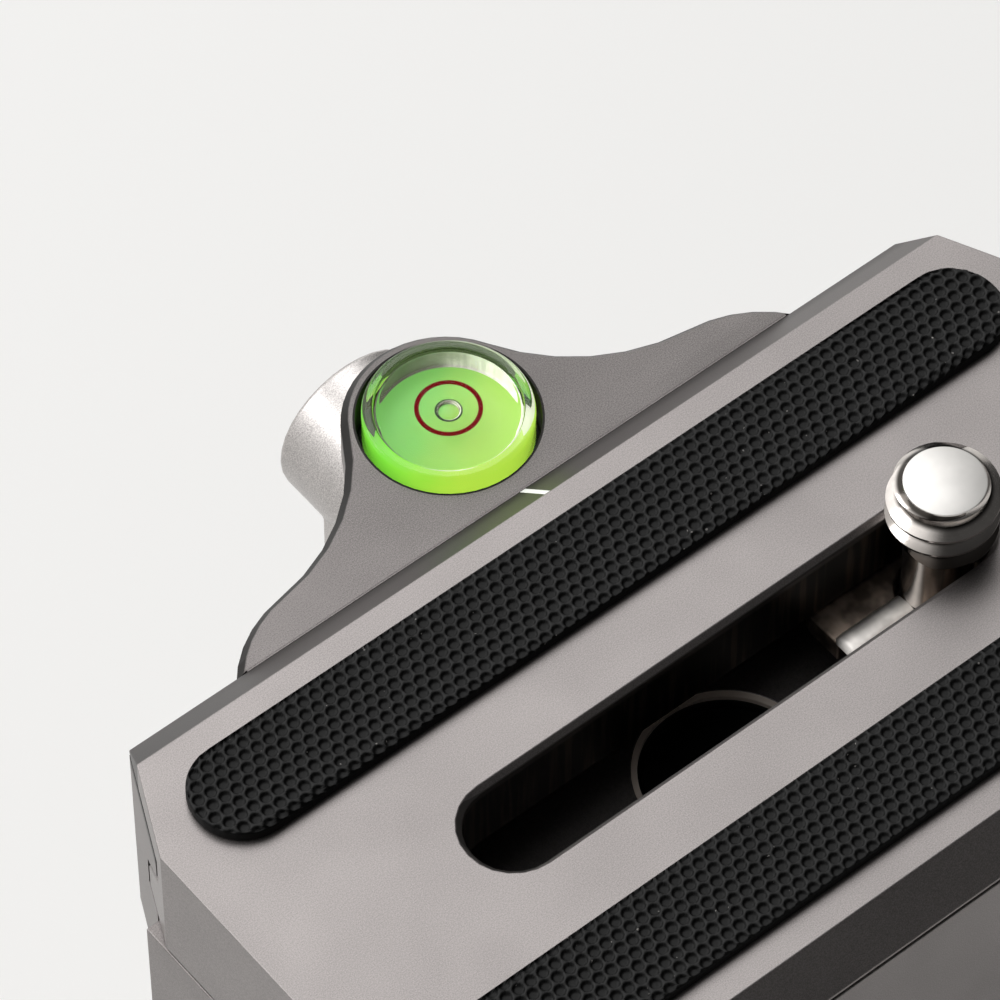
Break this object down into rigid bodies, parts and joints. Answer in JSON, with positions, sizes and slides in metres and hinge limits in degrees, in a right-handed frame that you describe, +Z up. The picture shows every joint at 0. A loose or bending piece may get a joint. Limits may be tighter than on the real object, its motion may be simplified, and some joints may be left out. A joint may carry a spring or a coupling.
{
  "type": "tripod ball head",
  "caption": "Small camera ball head with a dovetail quick release clamp, a plate with rubber strips and a slotted camera screw, and a round bubble level.",
  "frame": {"origin": "centre of the base's underside, on the axis of the 3/8 inch tripod socket", "axes": "+Z up through the ball's centre, +X along the quick release plate, towards the main lock knob, +Y towards the moving jaw with the bubble level"},
  "size_m": [0.0811, 0.0557, 0.0848],
  "materials": {
    "body_grey": "bead-blasted, titanium-grey anodised",
    "knob_silver": "bead-blasted, clear anodised silver",
    "ball_grey": "fine turned and anodised",
    "steel": "brushed, nickel plated",
    "rubber": "black, with fine round dimples",
    "white_plastic": "plain low-friction plastic",
    "level_green": "bright yellow-green, lit through the vial",
    "level_clear": "clear acrylic vial with a green fluid"
  },
  "bodies": {
    "base": {"base": "body_grey", "base_screw_1": "steel", "base_screw_2": "steel", "base_screw_3": "steel", "spindle": "steel", "pan_washer": "white_plastic", "pan_nut": "steel"},
    "housing": {"housing": "body_grey", "bearing_carrier": "steel", "seat_spring": "steel", "lower_seat": "white_plastic", "upper_seat": "white_plastic"},
    "main_knob": {"main_knob": "knob_silver", "main_knob_grip": "rubber", "main_knob_cap": "body_grey", "main_lock_screw": "steel"},
    "pan_knob": {"pan_knob": "knob_silver", "pan_knob_grip": "rubber", "pan_lock_screw": "steel"},
    "ball": {"ball": "ball_grey", "stem": "ball_grey"},
    "clamp": {"clamp_body": "body_grey", "centre_bolt": "steel", "jaw_spring_left": "steel", "jaw_spring_right": "steel"},
    "jaw": {"moving_jaw": "body_grey", "guide_pin_left": "steel", "guide_pin_right": "steel", "level_base": "level_green", "level_vial": "level_clear"},
    "lever": {"clamp_lever": "knob_silver", "lever_shaft": "steel"},
    "plate": {"quick_plate": "body_grey", "rubber_strip_front": "rubber", "rubber_strip_rear": "rubber", "stop_screw_left": "steel", "stop_screw_right": "steel"},
    "screw_tab": {"screw_tab": "steel"},
    "camera_screw": {"camera_screw": "steel"}
  },
  "joints": [
    {"name": "pan", "type": "hinge", "parent": "base", "child": "housing", "pos_m": [0, 0, 0.0091], "axis": [0, 0, 1], "continuous": true},
    {"name": "main_lock_turn", "type": "hinge", "parent": "housing", "child": "main_knob", "pos_m": [0.0239, 0, 0.0235], "axis": [-1, 0, 0], "range_deg": [0, 270]},
    {"name": "pan_lock_turn", "type": "hinge", "parent": "housing", "child": "pan_knob", "pos_m": [-0.0223, 0, 0.012], "axis": [1, 0, 0], "range_deg": [0, 270]},
    {"name": "ball_tilt", "type": "hinge", "parent": "housing", "child": "ball", "pos_m": [0, 0, 0.036], "axis": [1, 0, 0], "range_deg": [-34, 90]},
    {"name": "clamp_swivel", "type": "hinge", "parent": "ball", "child": "clamp", "pos_m": [0, 0, 0.063], "axis": [0, 0, 1], "continuous": true},
    {"name": "jaw_slide", "type": "slide", "parent": "clamp", "child": "jaw", "axis": [0, 1, 0], "range_m": [0, 0.002]},
    {"name": "lever_turn", "type": "hinge", "parent": "jaw", "child": "lever", "pos_m": [0, 0.01815, 0.0681], "axis": [0, 1, 0], "range_deg": [0, 90]},
    {"name": "plate_slide", "type": "slide", "parent": "clamp", "child": "plate", "axis": [1, 0, 0], "range_m": [-0.003, 0.003]},
    {"name": "screw_slide", "type": "slide", "parent": "plate", "child": "screw_tab", "axis": [1, 0, 0], "range_m": [-0.0299, 0]},
    {"name": "screw_turn", "type": "hinge", "parent": "screw_tab", "child": "camera_screw", "pos_m": [0.01495, 0, 0.08], "axis": [0, 0, 1], "continuous": true}
  ],
  "couplings": [
    {"joint": "lever_turn", "follows": "jaw_slide", "rad_per_m": 785}
  ]
}
